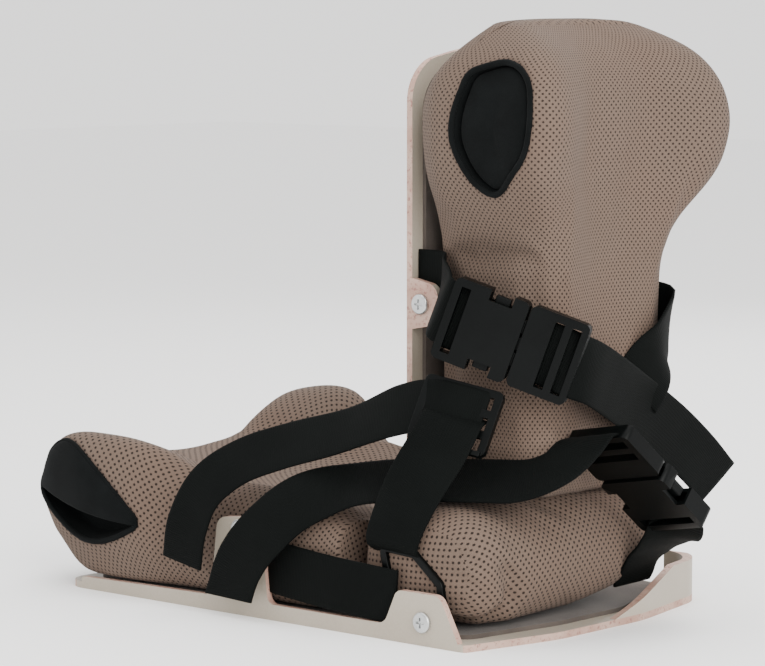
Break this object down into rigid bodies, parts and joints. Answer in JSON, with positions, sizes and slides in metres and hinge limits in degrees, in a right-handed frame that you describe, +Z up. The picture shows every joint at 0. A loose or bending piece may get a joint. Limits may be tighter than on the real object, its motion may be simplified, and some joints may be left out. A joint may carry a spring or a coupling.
{
  "type": "ankle foot orthosis",
  "caption": "Padded ankle foot orthosis: a flat leg shell and an upright shell with mesh-covered pads, webbing straps and side-release buckles.",
  "frame": {"origin": "bottom centre of the whole object, on the surface that it rests on", "axes": "+X along the leg shell towards its heel edge, +Y across it to the far side, +Z up"},
  "size_m": [0.4566, 0.2712, 0.3738],
  "materials": {
    "shell": "cream thermoplastic sheet, satin, pinkish cut edge",
    "lining": "grey-brown brushed foam lining",
    "mesh_cover": "taupe spacer mesh with small round holes",
    "foam": "open foam",
    "black_fabric": "black brushed knit",
    "webbing": "black polyester webbing",
    "black_plastic": "black acetal, satin",
    "zinc": "zinc-plated steel"
  },
  "bodies": {
    "shell": {"adjuster_strap": "webbing", "adjuster_tail": "webbing", "base_lining": "lining", "base_shell": "shell", "corner_anchor_strap": "webbing", "corner_lip": "shell", "cross_strap": "webbing", "far_lobe_binding": "black_fabric", "far_lobe_cover": "mesh_cover", "far_lobe_foam": "foam", "far_wing_binding": "black_fabric", "far_wing_cover": "mesh_cover", "far_wing_foam": "foam", "foot_rivets": "zinc", "heel_bolster_cover": "mesh_cover", "heel_bolster_foam": "foam", "leg_pad_cover": "mesh_cover", "leg_pad_foam": "foam", "loop_keeper": "zinc", "lower_buckle_socket": "black_plastic", "near_lobe_binding": "black_fabric", "near_lobe_cover": "mesh_cover", "near_lobe_foam": "foam", "near_side_strap": "webbing", "near_wing_binding": "black_fabric", "near_wing_cover": "mesh_cover", "near_wing_foam": "foam", "tab_screws": "zinc", "tab_washers": "zinc", "upper_anchor_strap": "webbing", "upper_buckle_socket": "black_plastic", "upper_strap": "webbing", "upright_foam_spacer": "lining", "upright_lining": "lining", "upright_pad_cover": "mesh_cover", "upright_pad_foam": "foam", "upright_shell": "shell", "wrap_strap": "webbing"},
    "upper_male": {"upper_buckle_male": "black_plastic"},
    "upper_left_prong": {"upper_buckle_left_prong": "black_plastic"},
    "upper_right_prong": {"upper_buckle_right_prong": "black_plastic"},
    "lower_male": {"lower_buckle_male": "black_plastic"},
    "lower_left_prong": {"lower_buckle_left_prong": "black_plastic"},
    "lower_right_prong": {"lower_buckle_right_prong": "black_plastic"},
    "ladder": {"ladder_lock": "black_plastic"},
    "loop": {"tab_loop": "black_plastic"},
    "near_lobe_flap": {"near_lobe_flap": "black_fabric"},
    "far_lobe_flap": {"far_lobe_flap": "black_fabric"},
    "near_wing_flap": {"near_wing_flap": "black_fabric"},
    "far_wing_flap": {"far_wing_flap": "black_fabric"}
  },
  "joints": [
    {"name": "upper_buckle_release", "type": "slide", "parent": "shell", "child": "upper_male", "axis": [0.8201, 0.4631, -0.3361], "range_m": [0, 0.016], "deforming": ["upper_strap"]},
    {"name": "upper_left_prong_squeeze", "type": "slide", "parent": "upper_male", "child": "upper_left_prong", "axis": [-0.2921, -0.1662, -0.9418], "range_m": [0, 0.002], "stiffness_N_per_m": 800},
    {"name": "upper_right_prong_squeeze", "type": "slide", "parent": "upper_male", "child": "upper_right_prong", "axis": [0.2921, 0.1662, 0.9418], "range_m": [0, 0.002], "stiffness_N_per_m": 800},
    {"name": "lower_buckle_release", "type": "slide", "parent": "shell", "child": "lower_male", "axis": [-0.1801, -0.7104, 0.6804], "range_m": [0, 0.014], "deforming": ["cross_strap"]},
    {"name": "lower_left_prong_squeeze", "type": "slide", "parent": "lower_male", "child": "lower_left_prong", "axis": [-0.9818, 0.0869, -0.1691], "range_m": [0, 0.002], "stiffness_N_per_m": 800},
    {"name": "lower_right_prong_squeeze", "type": "slide", "parent": "lower_male", "child": "lower_right_prong", "axis": [0.9818, -0.0869, 0.1691], "range_m": [0, 0.002], "stiffness_N_per_m": 800},
    {"name": "ladder_lock_tilt", "type": "hinge", "parent": "shell", "child": "ladder", "pos_m": [0.12025, -0.07179, 0.15274], "axis": [-0.9324, -0.3013, 0.1994], "range_deg": [0, 25], "deforming": ["adjuster_strap", "adjuster_tail"]},
    {"name": "tab_loop_swivel", "type": "hinge", "parent": "shell", "child": "loop", "pos_m": [0.12538, -0.10823, 0.0225], "axis": [1, 0, 0], "range_deg": [0, 10]},
    {"name": "near_lobe_flap_hinge", "type": "hinge", "parent": "shell", "child": "near_lobe_flap", "pos_m": [0.11558, -0.07373, 0.31], "axis": [0, 0, -1], "range_deg": [0, 55]},
    {"name": "far_lobe_flap_hinge", "type": "hinge", "parent": "shell", "child": "far_lobe_flap", "pos_m": [0.11558, 0.11627, 0.31], "axis": [0, 0, 1], "range_deg": [0, 55]},
    {"name": "near_wing_flap_hinge", "type": "hinge", "parent": "shell", "child": "near_wing_flap", "pos_m": [-0.16961, -0.11213, 0.0968], "axis": [-1, 0, 0], "range_deg": [0, 50]},
    {"name": "far_wing_flap_hinge", "type": "hinge", "parent": "shell", "child": "far_wing_flap", "pos_m": [-0.16961, 0.12627, 0.0968], "axis": [1, 0, 0], "range_deg": [0, 50]}
  ],
  "couplings": [
    {"joint": "upper_right_prong_squeeze", "follows": "upper_left_prong_squeeze", "ratio": 1},
    {"joint": "lower_right_prong_squeeze", "follows": "lower_left_prong_squeeze", "ratio": 1}
  ]
}
